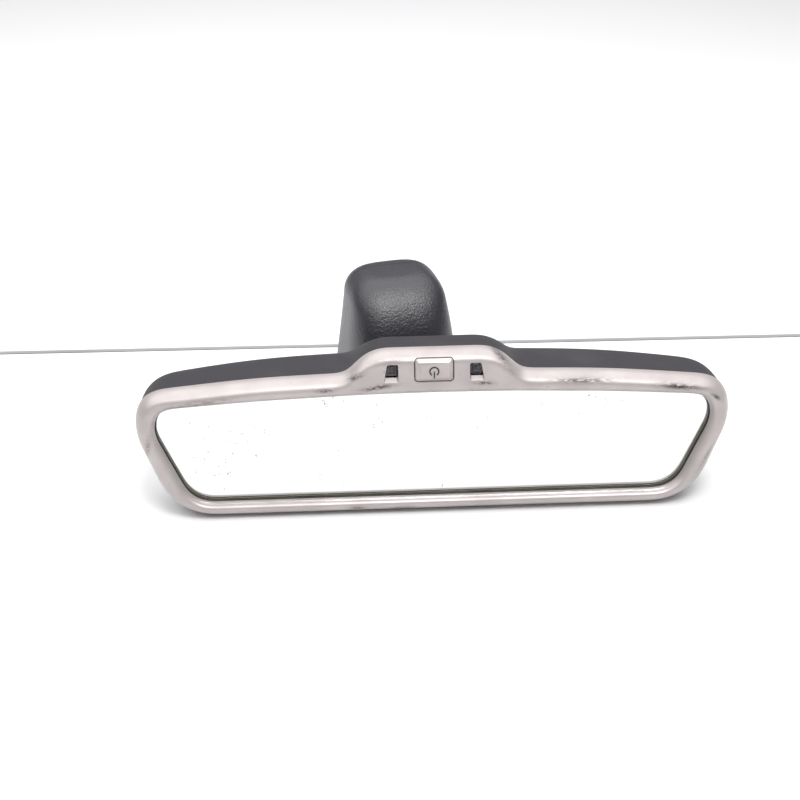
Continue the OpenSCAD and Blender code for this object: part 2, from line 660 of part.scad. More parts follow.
bezel();
rear_housing();
glass_gasket();
front_glass();
gel_seal();
mirror_glass();
bus_bars();
foam_pad();
carrier_plate();
circuit_board();
board_chips();
board_screws();
tact_switch();
switch_plunger();
power_button();
glare_sensor_lens();
indicator_lens();
glare_photodiode();
indicator_led();
rear_sensor_lens();
rear_photodiode();
connector_header();
connector_pins();
socket_cap();
socket_plate();
socket_screws();
clamp_cage();
front_bearing_shell();
rear_bearing_shell();
ball_stud();
foot_bracket();
windscreen_spring();
cover_carrier();
carrier_screws();
foot_cover();
rear_lid();
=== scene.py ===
# Interior rearview mirror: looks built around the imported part.
# Sizes in the dictionaries are millimetres in the head's own frame:
# u across, v up the glass, w behind the glass face.
import json
import math
import bpy
import numpy as np
from mathutils import Matrix, Vector


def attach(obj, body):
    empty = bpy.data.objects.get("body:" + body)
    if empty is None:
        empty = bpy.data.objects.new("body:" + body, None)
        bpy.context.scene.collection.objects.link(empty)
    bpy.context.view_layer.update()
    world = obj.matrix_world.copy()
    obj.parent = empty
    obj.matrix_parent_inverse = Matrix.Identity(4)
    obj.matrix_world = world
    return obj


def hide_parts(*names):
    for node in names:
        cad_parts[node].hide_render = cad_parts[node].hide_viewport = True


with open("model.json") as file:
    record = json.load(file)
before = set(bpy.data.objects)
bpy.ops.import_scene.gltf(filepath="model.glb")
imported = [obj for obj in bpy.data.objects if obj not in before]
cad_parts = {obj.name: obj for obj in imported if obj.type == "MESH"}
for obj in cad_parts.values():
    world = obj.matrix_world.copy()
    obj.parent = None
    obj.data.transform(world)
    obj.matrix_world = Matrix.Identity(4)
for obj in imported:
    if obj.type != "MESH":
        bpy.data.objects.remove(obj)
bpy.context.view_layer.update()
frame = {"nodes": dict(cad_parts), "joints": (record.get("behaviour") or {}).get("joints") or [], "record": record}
joints = {j["name"]: j for j in frame["joints"]}
mm = 0.001

# ---------- where the head and the foot stand ----------
ballAt = np.array(joints["head_roll"]["pos_m"])
frontDir = np.array(joints["head_roll"]["axis"], float)
frontDir /= np.linalg.norm(frontDir)
acrossDir = np.array([1.0, 0.0, 0.0])
upDir = np.cross(frontDir, acrossDir) * -1.0
upDir *= np.sign(upDir[2])
footYaw = math.atan2(ballAt[0], -ballAt[1])
ball = {"v": 8.0, "w": 20.0, "armRadius": 6.5, "armSlope": 26.0, "neckEnd": 27.0}
glassCentre = ballAt - upDir * ball["v"] * mm + frontDir * ball["w"] * mm


def headPoint(u, v, w):
    # glass centre plus u across, v up and w back, in metres
    u, v, w = np.broadcast_arrays(np.asarray(u, float), v, w)
    return glassCentre + mm * (u[..., None] * acrossDir + v[..., None] * upDir - w[..., None] * frontDir)


def footPoint(x, y, z):
    # the foot's own axes turned by its yaw about the origin, in metres
    x, y, z = np.broadcast_arrays(np.asarray(x, float), y, z)
    c, s = math.cos(footYaw), math.sin(footYaw)
    return mm * np.stack([x * c - y * s, x * s + y * c, z], -1)


# ---------- camera ----------
view = {
    "target": (-14.4, 20.35), "distance": 0.56, "azimuth": -2.0, "elevation": 30.0, "roll": -0.72,
    "lens": 59.2,
}


def makeCamera():
    az, el, roll = (math.radians(view[k]) for k in ("azimuth", "elevation", "roll"))
    away = Vector((math.sin(az) * math.cos(el), -math.cos(az) * math.cos(el), math.sin(el)))
    right = Vector((math.cos(az), math.sin(az), 0.0))
    up = away.cross(right)
    rolledRight = right * math.cos(roll) + up * math.sin(roll)
    rolledUp = up * math.cos(roll) - right * math.sin(roll)
    target = Vector(headPoint(*view["target"], 0.0))
    data = bpy.data.cameras.new("camera")
    data.lens = view["lens"]
    data.sensor_width = 36.0
    data.clip_start = 0.01
    cam = bpy.data.objects.new("camera", data)
    bpy.context.scene.collection.objects.link(cam)
    place = Matrix.Identity(4)
    for i, axis in enumerate((rolledRight, rolledUp, away, target + away * view["distance"])):
        place.col[i][0:3] = axis
    cam.matrix_world = place
    bpy.context.scene.camera = cam


makeCamera()
print("camera placed")


# ---------- mesh helpers ----------
def makeMesh(name, points, faces, material=None, smooth=True):
    mesh = bpy.data.meshes.new(name)
    mesh.from_pydata(points.tolist(), [], [list(f) for f in faces])
    mesh.validate()
    mesh.polygons.foreach_set("use_smooth", [smooth] * len(mesh.polygons))
    mesh.update()
    piece = bpy.data.objects.new(name, mesh)
    bpy.context.scene.collection.objects.link(piece)
    if material:
        mesh.materials.append(material)
    return piece


def gridFaces(rows, cols, closeRows, closeCols):
    # quads between neighbouring rows and columns; a closed direction joins its last line to its first
    j = np.arange(rows if closeRows else rows - 1)[:, None]
    k = np.arange(cols if closeCols else cols - 1)[None, :]
    j2, k2 = (j + 1) % rows, (k + 1) % cols
    return np.stack([j * cols + k, j * cols + k2, j2 * cols + k2, j2 * cols + k], -1).reshape(-1, 4)


def gridPiece(name, grid, material, closeRows=False, poles=None, flip=False):
    # a sheet of rows and columns; poles are the two points that close its first and last row
    rows, cols = grid.shape[:2]
    points = grid.reshape(-1, 3)
    faces = gridFaces(rows, cols, closeRows, True).tolist()
    if poles is not None:
        n = rows * cols
        points = np.concatenate([points, np.asarray(poles)])
        k = np.arange(cols)
        k2 = (k + 1) % cols
        faces += np.stack([np.full(cols, n), k2, k], -1).tolist()
        faces += np.stack([np.full(cols, n + 1), (rows - 1) * cols + k, (rows - 1) * cols + k2], -1).tolist()
    if flip:
        faces = [f[::-1] for f in faces]
    return makeMesh(name, points, faces, material)


def cutPiece(piece, cutter):
    # boolean with a throw-away body, applied at once
    mod = piece.modifiers.new("cut", "BOOLEAN")
    mod.operation = "DIFFERENCE"
    mod.solver = "EXACT"
    mod.object = cutter
    graph = bpy.context.evaluated_depsgraph_get()
    mesh = bpy.data.meshes.new_from_object(piece.evaluated_get(graph))
    old = piece.data
    piece.modifiers.clear()
    piece.data = mesh
    mesh.name = old.name + "Cut"
    bpy.data.meshes.remove(old)
    bpy.data.objects.remove(cutter)


def softenEdges(piece, angle=35.0):
    # smooth shading, with edges sharper than the angle kept crisp
    piece.data.polygons.foreach_set("use_smooth", [True] * len(piece.data.polygons))
    piece.data.set_sharp_from_angle(angle=math.radians(angle))


# ---------- outline of the head ----------
outline = {
    "halfWidth": 127.5, "chinTop": 43.0, "chinHalfWidth": 26.5, "shoulderRun": 11.0, "wingTop": 32.2,
    "crownU": 76.0, "crownDrop": 1.2, "tipDrop": 6.0, "kneeV": 6.5, "rake": 14.5, "bottom": 31.0,
    "bandTop": 8.5, "bandSide": 8.4, "bandBottom": 6.6, "step": 0.9, "soften": 2.2,
}


def outerCorners():
    o = outline
    shoulder = o["chinHalfWidth"] + o["shoulderRun"]
    return np.array([
        (0, o["chinTop"], 0), (o["chinHalfWidth"], o["chinTop"], 7), (shoulder, o["wingTop"], 3),
        (o["crownU"], o["wingTop"] - o["crownDrop"], 16), (o["halfWidth"], o["wingTop"] - o["tipDrop"], 17),
        (o["halfWidth"], o["kneeV"], 6), (o["halfWidth"] - o["rake"], -o["bottom"], 19), (0, -o["bottom"], 0),
    ], float)


def innerCorners():
    o = outline
    top, side = o["wingTop"] - o["bandTop"], o["halfWidth"] - o["bandSide"]
    shoulder = o["chinHalfWidth"] + o["shoulderRun"]
    low = o["bandBottom"] - o["bottom"]
    return np.array([
        (0, top + 0.6, 0), (o["chinHalfWidth"], top + 0.4, 7), (shoulder, top + 0.1, 3),
        (o["crownU"], top - o["crownDrop"], 16), (side, top - o["tipDrop"] + 2, 15),
        (side, o["kneeV"] + 0.5, 5), (side - o["rake"] + 0.6, low, 10), (0, low, 0),
    ], float)


def roundedHalf(corners, counts):
    # straight runs joined by parabolic corners; counts are the steps of each run and each corner
    at, reach = corners[:, :2], corners[:, 2]
    run = np.linalg.norm(np.diff(at, axis=0), axis=1)
    fit = np.minimum(1, 0.98 * run / np.maximum(0.01, reach[1:] + reach[:-1]))
    reach = reach * np.minimum(np.append(1, fit), np.append(fit, 1))
    ahead = np.diff(at, axis=0) / run[:, None]
    into = at[1:] - ahead * reach[1:, None]
    away = at[:-1] + ahead * reach[:-1, None]
    parts = []
    for i in range(len(run)):
        t = np.linspace(0, 1, counts[0][i] + 1)[:-1, None]
        parts.append(away[i] + (into[i] - away[i]) * t)
        if i < len(run) - 1:
            t = np.linspace(0, 1, counts[1][i] + 1)[:-1, None]
            parts.append((1 - t) ** 2 * into[i] + 2 * t * (1 - t) * at[i + 1] + t ** 2 * away[i + 1])
    return np.concatenate(parts + [at[-1:]])


def headOutlines():
    corners = outerCorners()
    run = np.linalg.norm(np.diff(corners[:, :2], axis=0), axis=1)
    bare = np.maximum(1, run - corners[1:, 2] - corners[:-1, 2])
    counts = (np.maximum(2, np.ceil(bare / outline["step"])).astype(int),
              np.maximum(6, np.ceil(1.8 * corners[1:-1, 2] / outline["step"])).astype(int))
    rings = []
    for c in (corners, innerCorners()):
        half = roundedHalf(c, counts)
        ring = np.concatenate([half, half[-2:0:-1] * (-1, 1)])
        rings.append(blurRing(ring, outline["soften"] / outline["step"]))
    return rings


def blurRing(ring, sigma):
    # weighted mean over the neighbours on the closed ring, with a bell-shaped weight
    reach = int(3 * sigma) + 1
    weight = np.exp(-0.5 * (np.arange(-reach, reach + 1) / sigma) ** 2)
    weight /= weight.sum()
    return sum(w * np.roll(ring, s, axis=0) for w, s in zip(weight, range(-reach, reach + 1)))


outerRing, innerRing = headOutlines()
bandWidth = np.linalg.norm(outerRing - innerRing, axis=1)
outward = (outerRing - innerRing) / bandWidth[:, None]


def insetRing(ring, d):
    return ring + outward * d


# ---------- material helpers ----------
def newMaterial(name, **sockets):
    mat = bpy.data.materials.new(name)
    mat.use_nodes = True
    shader = mat.node_tree.nodes["Principled BSDF"]
    for key, value in sockets.items():
        shader.inputs[key.replace("_", " ")].default_value = value
    return mat, mat.node_tree, shader


def addNode(tree, kind, inputs=None, **props):
    node = tree.nodes.new(kind)
    for key, value in props.items():
        setattr(node, key, value)
    for key, value in (inputs or {}).items():
        if isinstance(value, bpy.types.NodeSocket):
            tree.links.new(value, node.inputs[key])
        else:
            node.inputs[key].default_value = value
    return node


def objectCoords(tree, scale=(1, 1, 1), turn=(0, 0, 0)):
    coords = addNode(tree, "ShaderNodeTexCoord").outputs["Object"]
    return addNode(tree, "ShaderNodeMapping", {"Vector": coords, "Scale": scale, "Rotation": turn}).outputs[0]


def noise(tree, vector, scale, detail=3.0, rough=0.5):
    return addNode(tree, "ShaderNodeTexNoise", {
        "Vector": vector, "Scale": scale, "Detail": detail, "Roughness": rough}).outputs["Fac"]


def remap(tree, value, fromLow, fromHigh, toLow=0.0, toHigh=1.0):
    return addNode(tree, "ShaderNodeMapRange", {
        "Value": value, "From Min": fromLow, "From Max": fromHigh, "To Min": toLow, "To Max": toHigh,
    }).outputs[0]


def times(tree, a, b):
    return addNode(tree, "ShaderNodeMath", {0: a, 1: b}, operation="MULTIPLY").outputs[0]


def blendColour(tree, factor, a, b):
    node = addNode(tree, "ShaderNodeMix", data_type="RGBA")
    for index, value in ((0, factor), (6, a), (7, b)):
        if isinstance(value, bpy.types.NodeSocket):
            tree.links.new(value, node.inputs[index])
        else:
            node.inputs[index].default_value = value if index == 0 else (*value, 1.0)
    return node.outputs[2]


def bump(tree, shader, height, strength, distance):
    node = addNode(tree, "ShaderNodeBump", {"Height": height, "Strength": strength, "Distance": distance})
    tree.links.new(node.outputs[0], shader.inputs["Normal"])


def attribute(tree, name):
    return addNode(tree, "ShaderNodeAttribute", attribute_name=name).outputs["Fac"]


# ---------- materials ----------
def silverPaint(name, base, shade, flake):
    # satin silver paint: soft mottling, metallic flake, rubbed dark marks where the wear attribute says
    mat, tree, shader = newMaterial(name, Metallic=0.35, Coat_Weight=0.12, Coat_Roughness=0.3)
    coords = objectCoords(tree)
    cloudy = remap(tree, noise(tree, coords, 60.0, 4.0), 0.35, 0.7)
    colour = blendColour(tree, cloudy, base, shade)
    flakes = noise(tree, coords, flake, 2.0, 0.7)
    colour = blendColour(tree, remap(tree, flakes, 0.62, 0.8, 0.0, 0.3), colour, (0.95, 0.93, 0.92))
    smear = noise(tree, objectCoords(tree, (0.35, 1, 1)), 1100.0, 5.0, 0.72)
    broken = remap(tree, smear, 0.40, 0.51)
    rubbed = times(tree, attribute(tree, "wear"), broken)
    haze = times(tree, attribute(tree, "wear"), 0.5)
    colour = blendColour(tree, haze, colour, (0.36, 0.32, 0.31))
    colour = blendColour(tree, rubbed, colour, (0.018, 0.013, 0.014))
    specks = remap(tree, noise(tree, coords, 900.0, 1.0, 0.4), 0.76, 0.8)
    colour = blendColour(tree, times(tree, specks, 0.6), colour, (0.12, 0.10, 0.10))
    tree.links.new(colour, shader.inputs["Base Color"])
    rough = addNode(tree, "ShaderNodeMath", {
        0: remap(tree, cloudy, 0, 1, 0.34, 0.44), 1: times(tree, rubbed, 0.25)}, operation="ADD").outputs[0]
    tree.links.new(rough, shader.inputs["Roughness"])
    bump(tree, shader, flakes, 0.06, 0.0003)
    return mat


def grainedPlastic(name, base, worn, grain, depth, rough, streak=0.0, specular=0.5):
    # moulded plastic: cell grain under fine noise, faint greyish rubbing
    mat, tree, shader = newMaterial(name, Specular_IOR_Level=specular)
    coords = objectCoords(tree)
    cells = addNode(tree, "ShaderNodeTexVoronoi", {"Vector": coords, "Scale": grain},
                    feature="SMOOTH_F1").outputs["Distance"]
    fine = noise(tree, coords, grain * 2.3, 4.0, 0.6)
    height = addNode(tree, "ShaderNodeMath", {0: cells, 1: fine}, operation="ADD").outputs[0]
    cloudy = remap(tree, noise(tree, coords, 45.0, 5.0, 0.6), 0.5, 0.78, 0.0, 0.55)
    colour = blendColour(tree, cloudy, base, worn)
    if streak:
        marks = noise(tree, objectCoords(tree, (1, 1, 9), (0.0, 0.5, 0.2)), 170.0, 4.0, 0.7)
        colour = blendColour(tree, remap(tree, marks, 0.66, 0.8, 0.0, streak), colour, worn)
    tree.links.new(colour, shader.inputs["Base Color"])
    tree.links.new(remap(tree, fine, 0.3, 0.7, rough - 0.05, rough + 0.07), shader.inputs["Roughness"])
    bump(tree, shader, height, depth, 0.00025)
    return mat


def castMetal(name, base, shade, rough, metallic=1.0, stretch=(1, 1, 1)):
    # cast or brushed metal: cloudy tone, grain along the stretch
    mat, tree, shader = newMaterial(name, Metallic=metallic)
    grain = noise(tree, objectCoords(tree, stretch), 900.0, 5.0, 0.65)
    cloudy = remap(tree, noise(tree, objectCoords(tree), 120.0, 3.0), 0.35, 0.65)
    tree.links.new(blendColour(tree, cloudy, base, shade), shader.inputs["Base Color"])
    tree.links.new(remap(tree, grain, 0.3, 0.7, rough - 0.08, rough + 0.1), shader.inputs["Roughness"])
    bump(tree, shader, grain, 0.15, 0.0002)
    return mat


def darkLens(name):
    mat, tree, shader = newMaterial(name, Coat_Weight=0.6, Coat_Roughness=0.05)
    cloudy = remap(tree, noise(tree, objectCoords(tree), 700.0, 3.0), 0.4, 0.7)
    colour = blendColour(tree, cloudy, (0.012, 0.012, 0.016), (0.04, 0.035, 0.045))
    tree.links.new(colour, shader.inputs["Base Color"])
    tree.links.new(remap(tree, cloudy, 0, 1, 0.12, 0.22), shader.inputs["Roughness"])
    return mat


def clearPane(name):
    # clear glass with dust grains, which gather in a few loose clusters
    mat, tree, shader = newMaterial(name, Transmission_Weight=1.0, IOR=1.5)
    field = noise(tree, objectCoords(tree, (-1, 1, 1)), 16.0, 2.0)
    gathered = remap(tree, field, 0.57, 0.74, 0.0, 0.11)
    grains = noise(tree, objectCoords(tree), 900.0, 1.0, 0.3)
    dust = remap(tree, addNode(tree, "ShaderNodeMath", {0: grains, 1: gathered}).outputs[0], 0.78, 0.81)
    colour = blendColour(tree, dust, (0.985, 0.995, 0.995), (0.45, 0.4, 0.38))
    tree.links.new(colour, shader.inputs["Base Color"])
    tree.links.new(remap(tree, dust, 0, 1, 0.0, 0.5), shader.inputs["Roughness"])
    return mat


def mirrorCoat(name):
    mat, tree, shader = newMaterial(name, Metallic=1.0)
    cloudy = remap(tree, noise(tree, objectCoords(tree), 30.0, 2.0), 0.3, 0.7)
    colour = blendColour(tree, cloudy, (0.93, 0.945, 0.95), (0.95, 0.955, 0.955))
    tree.links.new(colour, shader.inputs["Base Color"])
    tree.links.new(remap(tree, cloudy, 0, 1, 0.0, 0.02), shader.inputs["Roughness"])
    return mat


def boardResist(name):
    # green board with darker tracks under the resist
    mat, tree, shader = newMaterial(name, Coat_Weight=0.4)
    tracks = addNode(tree, "ShaderNodeTexBrick", {
        "Vector": objectCoords(tree), "Scale": 160.0, "Mortar Size": 0.03}).outputs["Fac"]
    colour = blendColour(tree, tracks, (0.02, 0.17, 0.07), (0.05, 0.33, 0.14))
    tree.links.new(colour, shader.inputs["Base Color"])
    tree.links.new(remap(tree, tracks, 0, 1, 0.35, 0.45), shader.inputs["Roughness"])
    return mat


finishes = {
    "silver_paint": silverPaint("silverPaint", (0.50, 0.455, 0.448), (0.42, 0.378, 0.373), 5200.0),
    "button_silver": silverPaint("buttonPaint", (0.52, 0.47, 0.46), (0.46, 0.41, 0.405), 6000.0),
    "soft_black": grainedPlastic(
        "softTouchGrey", (0.026, 0.0235, 0.029), (0.05, 0.046, 0.052), 1500.0, 0.12, 0.55, 0.3),
    "cover_black": grainedPlastic(
        "leatherGrainBlack", (0.013, 0.0125, 0.020), (0.03, 0.029, 0.036), 1050.0, 0.6, 0.32, 0.0, 0.85),
    "gasket_black": grainedPlastic(
        "gasketRubber", (0.010, 0.010, 0.011), (0.02, 0.02, 0.02), 2600.0, 0.1, 0.5),
    "inner_black": grainedPlastic("innerBlack", (0.02, 0.02, 0.023), (0.04, 0.04, 0.045), 1700.0, 0.2, 0.5),
    "chip_black": grainedPlastic("chipBlack", (0.025, 0.025, 0.028), (0.06, 0.06, 0.06), 3000.0, 0.15, 0.45),
    "foam": grainedPlastic("foamGrey", (0.05, 0.05, 0.05), (0.09, 0.09, 0.09), 900.0, 0.8, 0.9),
    "seal_resin": grainedPlastic("sealResin", (0.30, 0.27, 0.18), (0.4, 0.36, 0.28), 2000.0, 0.1, 0.35),
    "nylon": grainedPlastic("nylonWhite", (0.72, 0.70, 0.62), (0.8, 0.78, 0.72), 1500.0, 0.1, 0.4),
    "led_white": grainedPlastic("ledWhite", (0.75, 0.70, 0.5), (0.85, 0.82, 0.7), 2500.0, 0.05, 0.3),
    "board_green": boardResist("boardResist"),
    "pane": clearPane("clearPane"),
    "mirror_coat": mirrorCoat("mirrorCoat"),
    "dark_lens": darkLens("smokedLens"),
    "copper": castMetal("platedCopper", (0.72, 0.42, 0.26), (0.6, 0.33, 0.2), 0.3),
    "gold_pin": castMetal("platedPin", (0.83, 0.66, 0.32), (0.75, 0.6, 0.3), 0.25),
    "zinc_screw": castMetal("zincScrew", (0.66, 0.67, 0.68), (0.55, 0.56, 0.57), 0.32),
    "cast_metal": castMetal("castMetal", (0.42, 0.43, 0.44), (0.32, 0.33, 0.34), 0.5, 0.9),
    "spring_steel": castMetal("springSteel", (0.55, 0.56, 0.58), (0.45, 0.46, 0.48), 0.3, 1.0, (1, 6, 1)),
    "ball_steel": castMetal("ballSteel", (0.60, 0.61, 0.62), (0.5, 0.5, 0.51), 0.22, 1.0, (1, 1, 8)),
}
nodeSlot = {s["node"]: s["material_slot"] for s in frame["record"]["subparts"]}
for nodeName, cadPiece in frame["nodes"].items():
    cadPiece.data.materials.clear()
    cadPiece.data.materials.append(finishes[nodeSlot[nodeName]])
print("materials made")

# ---------- bezel ----------
bezel = {
    "crest": 5.0, "lip": 1.3, "lipWall": 0.8, "skirt": 3.5, "wall": 2.0, "roundIn": 3.0, "roundOut": 4.8,
    "frontRows": 34, "backRows": 10,
    # dark rubbed marks: centre u, v, half length, half width, turn in degrees, strength
    "marks": [
        (-33, 33.0, 3.4, 0.9, 22, 0.9), (-46, 27.4, 3.0, 0.7, 2, 1.0), (-24, 28.2, 6.5, 0.9, 8, 1.0),
        (-100, 23.0, 16.0, 1.4, 8, 0.4), (-18, 39.6, 6.5, 0.9, 3, 0.45), (21, 29.0, 3.6, 0.7, -3, 1.0),
        (28, 39.6, 5.0, 0.9, -42, 0.8), (31, 35.0, 5.0, 1.4, -40, 0.3), (62, 28.5, 13.0, 0.9, -2, 0.85),
        (104, 24.6, 8.0, 1.1, -6, 1.0), (120, 19.5, 2.2, 0.8, -35, 0.9), (-34, -28.0, 3.0, 0.9, 0, 0.8),
        (-14, -28.6, 5.0, 0.8, 0, 0.7), (40, -29.0, 30.0, 0.6, 0, 0.25), (-122, 4.0, 5.0, 1.0, 80, 0.4),
        (118, -8.0, 6.0, 0.9, 65, 0.4),
    ],
}
control = {
    "button": (16.0, 9.9), "buttonV": 35.4, "gap": 0.35, "corner": 1.3, "proud": 0.7, "bevel": 1.45,
    "bevelDrop": 0.95, "dish": 0.18, "windowU": 17.8, "windowV": 35.0, "window": (6.2, 5.6),
    # how far each window flares at its mouth, all round and below, and the depths of its three rings
    "flare": (0.4, 1.9), "windowDepths": (-5.3, -2.5, 4.0), "lensGap": 0.2, "lensDepth": 2.4,
    "lensBack": 6.9, "rib": 0.16, "ribPitch": 1.1, "windowCorner": 0.9,
    # the button's hole: how much wider its mouth is, and the depths of its three rings
    "mouth": 0.9, "mouthCorner": 0.4, "holeDepths": (-5.6, -4.75, 4.0),
    "faceInset": 4.6, "dishRun": 3.4, "capDepth": 6.5,
}


def edgeFall(x):
    # 1 at an edge, falling to 0 one radius in, as a quarter circle
    x = np.clip(x, 0, 1)
    return 1 - np.sqrt(1 - (1 - x) ** 2)


def bezelFront(x, width):
    b = bezel
    return (-b["crest"] + (b["crest"] - b["lip"]) * edgeFall(x / np.minimum(b["roundIn"], 0.35 * width))
            + (b["crest"] + b["skirt"]) * edgeFall((width - x) / np.minimum(b["roundOut"], 0.65 * width)))


def bezelBack(x, width):
    return np.minimum(bezelFront(x, width) + bezel["wall"], bezel["lipWall"] - bezel["lip"])


def bezelGrid():
    # rows run over the front from the glass to the parting line and back inside; columns run round the head
    b, width = bezel, bandWidth[None, :]
    share = (1 - np.cos(np.linspace(0, math.pi, b["frontRows"])))[:, None] / 2
    front = share * width
    inner = np.linspace(1, 0, b["backRows"])[:, None] * (width - b["wall"])
    x = np.concatenate([front, width - b["wall"], inner])
    w = np.concatenate([bezelFront(front, width), np.full_like(width, b["skirt"]), bezelBack(inner, width)])
    uv = innerRing[None] + outward[None] * x[..., None]
    return uv[..., 0], uv[..., 1], w


def wearAt(u, v, marks):
    # each mark is a soft ellipse round its centre; the strongest one counts
    wear = np.zeros_like(u)
    for cu, cv, length, width, turn, strength in marks:
        c, s = math.cos(math.radians(turn)), math.sin(math.radians(turn))
        along, aside = (u - cu) * c + (v - cv) * s, (v - cv) * c - (u - cu) * s
        wear = np.maximum(wear, strength * np.exp(-((along / length) ** 2 + (aside / width) ** 2)))
    return wear


def setWear(piece, marks):
    co = np.zeros(len(piece.data.vertices) * 3)
    piece.data.vertices.foreach_get("co", co)
    rel = (co.reshape(-1, 3) - glassCentre) / mm
    layer = piece.data.attributes.new("wear", "FLOAT", "POINT")
    layer.data.foreach_set("value", wearAt(rel @ acrossDir, rel @ upDir, marks))


def roundedBox(width, height, corner, steps=8):
    # outline of a rectangle with circular corners, clockwise from the upper left
    centres = np.array([(-1, 1), (1, 1), (1, -1), (-1, -1)]) * (width / 2 - corner, height / 2 - corner)
    start = np.radians([180, 90, 0, -90])
    angle = start[:, None] - np.linspace(0, math.pi / 2, steps)[None, :]
    arc = np.stack([np.cos(angle), np.sin(angle)], -1) * corner
    return (centres[:, None] + arc).reshape(-1, 2)


def prism(name, outlines, depths, material=None, centreU=0.0, centreV=0.0):
    # rings of an outline at given depths, closed by a middle point at each end
    grid = np.stack([headPoint(centreU + o[:, 0], centreV + o[:, 1], d) for o, d in zip(outlines, depths)])
    mid = np.mean(outlines[0], axis=0)
    poles = [headPoint(centreU + mid[0], centreV + mid[1], depths[0]),
             headPoint(centreU + mid[0], centreV + mid[1], depths[-1])]
    return gridPiece(name, grid, material, poles=poles)


def windowOutline(side, grow, lowGrow=0.0):
    w, h = control["window"]
    corners = np.array([(-0.4, 0.5), (0.28, 0.5), (0.5, -0.5), (-0.4, -0.5)]) * (w + 2 * grow, h + 2 * grow)
    corners[2:, 1] -= lowGrow
    n = 6
    before, after = np.roll(corners, 1, axis=0), np.roll(corners, -1, axis=0)
    r = control["windowCorner"]
    a = corners + (before - corners) / np.linalg.norm(before - corners, axis=1)[:, None] * r
    b = corners + (after - corners) / np.linalg.norm(after - corners, axis=1)[:, None] * r
    t = np.linspace(0, 1, n)[None, :, None]
    ring = (1 - t) ** 2 * a[:, None] + 2 * t * (1 - t) * corners[:, None] + t ** 2 * b[:, None]
    ring = ring.reshape(-1, 2) * (side, 1)
    return ring if side > 0 else ring[::-1]


def buildBezel():
    u, v, w = bezelGrid()
    piece = gridPiece("bezelShell", headPoint(u, v, w), finishes["silver_paint"], closeRows=True)
    cw, ch = control["button"]
    grow = 2 * control["gap"]
    hole = roundedBox(cw + grow, ch + grow, control["corner"] + control["gap"])
    mouth = roundedBox(cw + grow + control["mouth"], ch + grow + control["mouth"],
                       control["corner"] + control["gap"] + control["mouthCorner"])
    rings = [mouth, hole, hole]
    cutPiece(piece, prism("buttonCut", rings, control["holeDepths"], centreV=control["buttonV"]))
    for side in (-1, 1):
        rings = [windowOutline(side, *control["flare"]), windowOutline(side, 0.0), windowOutline(side, 0.0)]
        cutPiece(piece, prism("windowCut", rings, control["windowDepths"],
                              centreU=side * control["windowU"], centreV=control["windowV"]))
    softenEdges(piece)
    setWear(piece, bezel["marks"])
    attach(piece, "head")
    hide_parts("bezel")


buildBezel()
print("bezel built")

# ---------- rear housing ----------
housing = {
    "depth": 36.0, "tipTaper": 0.46, "chinTaper": 0.46, "bottomTaper": 0.34, "wall": 2.0,
    "round": (7.0, 18.0), "power": (5.0, 2.0), "gap": 0.3, "step": 0.4, "swing": 20.0, "neck": 4.5,
    "holeMargin": 2.0, "rows": 64, "liningRows": 20,
    "sensor": (-38.0, 12.0, 4.2), "sensorCut": (10.0, 45.0),
    "header": (40.0, 10.0, 20.6, 9.6), "headerCut": (12.0, 45.0),
}


def smoothStep(a, b, x):
    t = np.clip((x - a) / (b - a), 0, 1)
    return t * t * (3 - 2 * t)


def housingDepth(u, v):
    h = housing
    return (h["depth"] * (1 - h["tipTaper"] * np.minimum(1, np.abs(u) / outline["halfWidth"]) ** 2)
            * (1 - h["chinTaper"] * smoothStep(outline["wingTop"] - 8, outline["chinTop"] - 1, v))
            * (1 - h["bottomTaper"] * smoothStep(-4, -outline["bottom"], v)))


def wallRise(x, low, inset):
    # from the rim the wall rises steeply and turns into the back over one radius
    # low is 1 along the foot edge
    radius, p = ((1 - low) * housing[k][0] + low * housing[k][1] for k in ("round", "power"))
    return (1 - (1 - np.clip(x / (radius - inset), 0, 1)) ** p) ** (1 / p)


def housingSheet(rows, inset):
    h = housing
    both = math.acos(math.cos(math.radians(h["swing"])) ** 2)
    partingW = bezel["skirt"] + h["gap"]
    behindBall = h["depth"] + partingW - ball["w"]
    holeR = behindBall * math.tan(both) + h["neck"] / math.cos(both) + h["holeMargin"]
    rim = insetRing(outerRing, -h["step"])
    toBall = rim - (0, ball["v"])
    hole = (0, ball["v"]) + toBall / np.linalg.norm(toBall, axis=1)[:, None] * holeR
    inward = (hole - rim) / np.linalg.norm(hole - rim, axis=1)[:, None]
    start = rim + inward * inset
    share = (np.linspace(0, 1, rows) ** 2)[:, None, None]
    uv = start + (hole - start) * share
    low = smoothStep(-5, 4 - outline["bottom"], rim[:, 1])
    rise = wallRise(np.linalg.norm(uv - start, axis=2), low, inset)
    return uv[..., 0], uv[..., 1], partingW + (housingDepth(uv[..., 0], uv[..., 1]) - inset) * rise


def buildHousing():
    outside = np.stack(housingSheet(housing["rows"], 0.0))
    lining = np.stack(housingSheet(housing["liningRows"], housing["wall"]))[:, ::-1]
    u, v, w = np.concatenate([outside, lining], axis=1)
    piece = gridPiece("housingShell", headPoint(u, v, w), finishes["soft_black"], closeRows=True)
    su, sv, sr = housing["sensor"]
    ring = roundedBox(2 * sr, 2 * sr, sr - 0.01, 16)
    cutPiece(piece, prism("sensorCut", [ring, ring], housing["sensorCut"], centreU=su, centreV=sv))
    hu, hv, hw, hh = housing["header"]
    ring = roundedBox(hw, hh, 0.6)
    cutPiece(piece, prism("headerCut", [ring, ring], housing["headerCut"], centreU=hu, centreV=hv))
    softenEdges(piece)
    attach(piece, "head")
    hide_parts("rear_housing")


buildHousing()
print("housing built")


